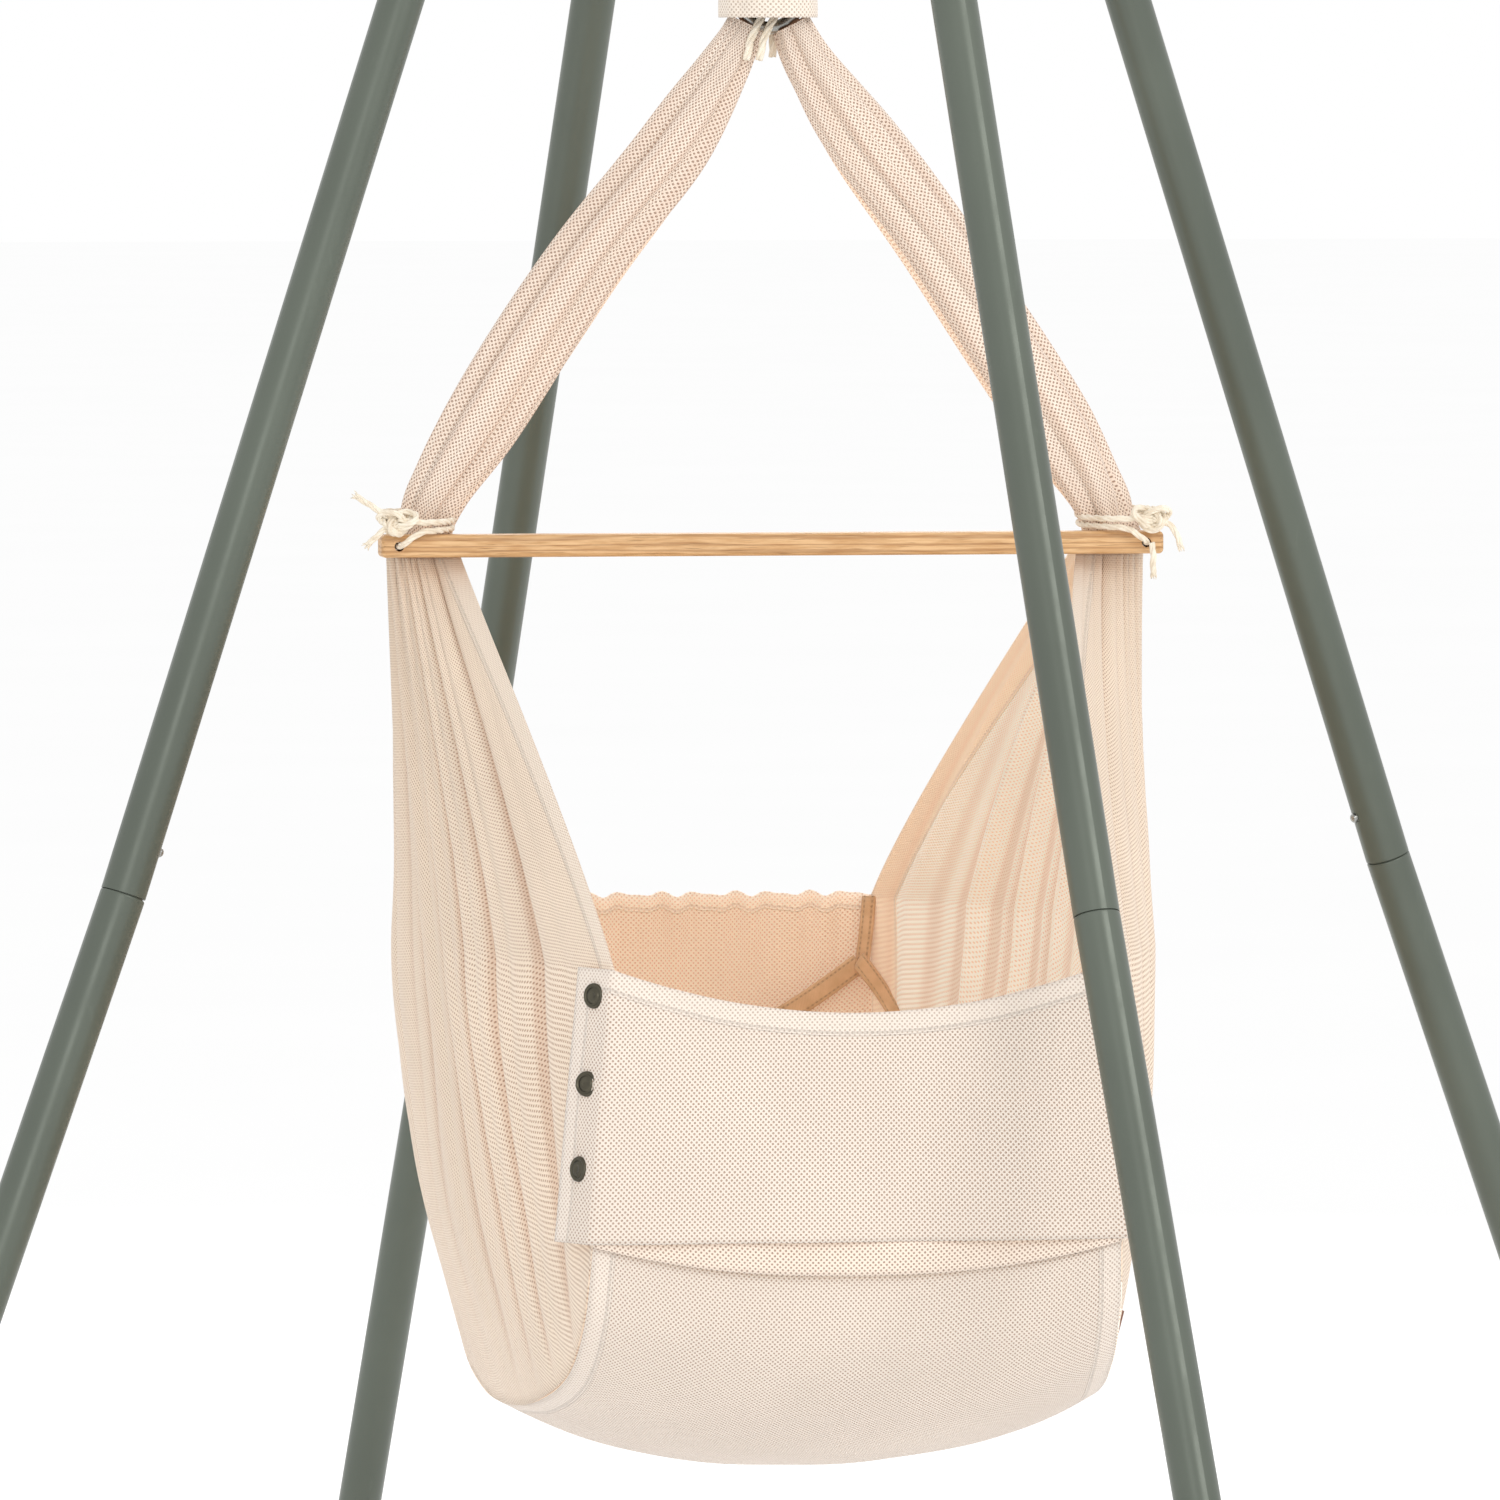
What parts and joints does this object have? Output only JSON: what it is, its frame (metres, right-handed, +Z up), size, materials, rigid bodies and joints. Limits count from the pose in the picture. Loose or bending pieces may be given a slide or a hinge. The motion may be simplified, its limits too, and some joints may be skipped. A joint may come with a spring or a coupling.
{
  "type": "baby hammock swing with stand",
  "caption": "Cloth cradle hammock on a wooden spreader bar, hung by a covered spring and swivel in a four-legged tube stand with snap buttons.",
  "frame": {"origin": "on the floor under the stand's centre, on the axis that the cradle hangs on", "axes": "+Z up; X along the spreader bar; -Y towards the cradle's foot end with the front flap"},
  "size_m": [1.3396, 1.3396, 1.902],
  "materials": {
    "tube_paint": "satin green-grey powder coat",
    "cap_plastic": "matt moulded",
    "rubber": "matt rubber",
    "plated_steel": "zinc plated",
    "spring_steel": "drawn wire",
    "oak": "oiled oak",
    "cotton_cord": "twisted cotton",
    "knit_cloth": "open cotton knit",
    "snap_metal": "dark burnished",
    "mattress_cover": "soft cotton",
    "tan_leather": "smooth tan leather"
  },
  "bodies": {
    "stand": {"hub_head": "tube_paint", "hub_cap": "cap_plastic", "socket_bolts": "plated_steel", "eye_bolt": "plated_steel", "eye_bolt_nut": "plated_steel", "button_springs": "spring_steel", "leg_upper_tube_1": "tube_paint", "leg_middle_tube_1": "tube_paint", "leg_lower_tube_1": "tube_paint", "rubber_foot_1": "rubber", "leg_upper_tube_2": "tube_paint", "leg_middle_tube_2": "tube_paint", "leg_lower_tube_2": "tube_paint", "rubber_foot_2": "rubber", "leg_upper_tube_3": "tube_paint", "leg_middle_tube_3": "tube_paint", "leg_lower_tube_3": "tube_paint", "rubber_foot_3": "rubber", "leg_upper_tube_4": "tube_paint", "leg_middle_tube_4": "tube_paint", "leg_lower_tube_4": "tube_paint", "rubber_foot_4": "rubber"},
    "upper_button_1": {"upper_snap_button_1": "plated_steel"},
    "upper_button_2": {"upper_snap_button_2": "plated_steel"},
    "upper_button_3": {"upper_snap_button_3": "plated_steel"},
    "upper_button_4": {"upper_snap_button_4": "plated_steel"},
    "lower_button_1": {"lower_snap_button_1": "plated_steel"},
    "lower_button_2": {"lower_snap_button_2": "plated_steel"},
    "lower_button_3": {"lower_snap_button_3": "plated_steel"},
    "lower_button_4": {"lower_snap_button_4": "plated_steel"},
    "upper_hook": {"upper_carabiner": "plated_steel", "upper_gate_pin": "plated_steel"},
    "upper_hook_gate": {"upper_gate": "plated_steel"},
    "swivel_top": {"swivel_case": "plated_steel"},
    "swivel_foot": {"swivel_stud": "plated_steel", "spring": "spring_steel", "spring_cover": "knit_cloth", "safety_cord": "cotton_cord"},
    "cradle": {"lower_carabiner": "plated_steel", "lower_gate_pin": "plated_steel", "top_cord_loops": "cotton_cord", "bundle_left": "knit_cloth", "bundle_right": "knit_cloth", "bar_lashing_left": "cotton_cord", "bar_lashing_right": "cotton_cord", "spreader_bar": "oak", "side_panel_left": "knit_cloth", "side_panel_right": "knit_cloth", "basket_bottom": "knit_cloth", "back_panel": "knit_cloth", "front_seam_band": "knit_cloth", "snap_sockets": "snap_metal", "mattress": "mattress_cover", "blank_label": "tan_leather"},
    "lower_hook_gate": {"lower_gate": "plated_steel"},
    "flap": {"front_flap": "knit_cloth", "snap_caps": "snap_metal"}
  },
  "joints": [
    {"name": "hook_swing", "type": "hinge", "parent": "stand", "child": "upper_hook", "pos_m": [0, 0, 1.8106], "axis": [-1, 0, 0], "range_deg": [-2.4, 2.4]},
    {"name": "hook_sway", "type": "hinge", "parent": "upper_hook", "child": "swivel_top", "pos_m": [0, 0, 1.7512], "axis": [0, 1, 0], "range_deg": [-2.4, 2.4]},
    {"name": "swivel_spin", "type": "hinge", "parent": "swivel_top", "child": "swivel_foot", "pos_m": [0, 0, 1.715], "axis": [0, 0, 1], "continuous": true},
    {"name": "spring_bounce", "type": "slide", "parent": "swivel_foot", "child": "cradle", "axis": [0, 0, 1], "range_m": [-0.1, 0], "stiffness_N_per_m": 1500, "springref_m": 0.045, "deforming": ["spring", "spring_cover", "safety_cord"]},
    {"name": "upper_gate_hinge", "type": "hinge", "parent": "upper_hook", "child": "upper_hook_gate", "pos_m": [0.016, 0, 1.7626], "axis": [0, -1, 0], "range_deg": [0, 20], "stiffness_Nm_per_rad": 0.02, "springref_deg": -17.19},
    {"name": "lower_gate_hinge", "type": "hinge", "parent": "cradle", "child": "lower_hook_gate", "pos_m": [0.019, 0, 1.1945], "axis": [0, -1, 0], "range_deg": [0, 20], "stiffness_Nm_per_rad": 0.02, "springref_deg": -17.19},
    {"name": "flap_hinge", "type": "hinge", "parent": "cradle", "child": "flap", "pos_m": [0, -0.357, 0.449], "axis": [1, 0, 0], "range_deg": [0, 20]},
    {"name": "upper_button_1_press", "type": "slide", "parent": "stand", "child": "upper_button_1", "axis": [0.9003, 0.289, 0.3256], "range_m": [0, 0.0046], "stiffness_N_per_m": 400, "springref_m": -0.004},
    {"name": "upper_button_2_press", "type": "slide", "parent": "stand", "child": "upper_button_2", "axis": [-0.289, 0.9003, 0.3256], "range_m": [0, 0.0046], "stiffness_N_per_m": 400, "springref_m": -0.004},
    {"name": "upper_button_3_press", "type": "slide", "parent": "stand", "child": "upper_button_3", "axis": [-0.9003, -0.289, 0.3256], "range_m": [0, 0.0046], "stiffness_N_per_m": 400, "springref_m": -0.004},
    {"name": "upper_button_4_press", "type": "slide", "parent": "stand", "child": "upper_button_4", "axis": [0.289, -0.9003, 0.3256], "range_m": [0, 0.0046], "stiffness_N_per_m": 400, "springref_m": -0.004},
    {"name": "lower_button_1_press", "type": "slide", "parent": "stand", "child": "lower_button_1", "axis": [0.9003, 0.289, 0.3256], "range_m": [0, 0.0046], "stiffness_N_per_m": 400, "springref_m": -0.004},
    {"name": "lower_button_2_press", "type": "slide", "parent": "stand", "child": "lower_button_2", "axis": [-0.289, 0.9003, 0.3256], "range_m": [0, 0.0046], "stiffness_N_per_m": 400, "springref_m": -0.004},
    {"name": "lower_button_3_press", "type": "slide", "parent": "stand", "child": "lower_button_3", "axis": [-0.9003, -0.289, 0.3256], "range_m": [0, 0.0046], "stiffness_N_per_m": 400, "springref_m": -0.004},
    {"name": "lower_button_4_press", "type": "slide", "parent": "stand", "child": "lower_button_4", "axis": [0.289, -0.9003, 0.3256], "range_m": [0, 0.0046], "stiffness_N_per_m": 400, "springref_m": -0.004}
  ]
}
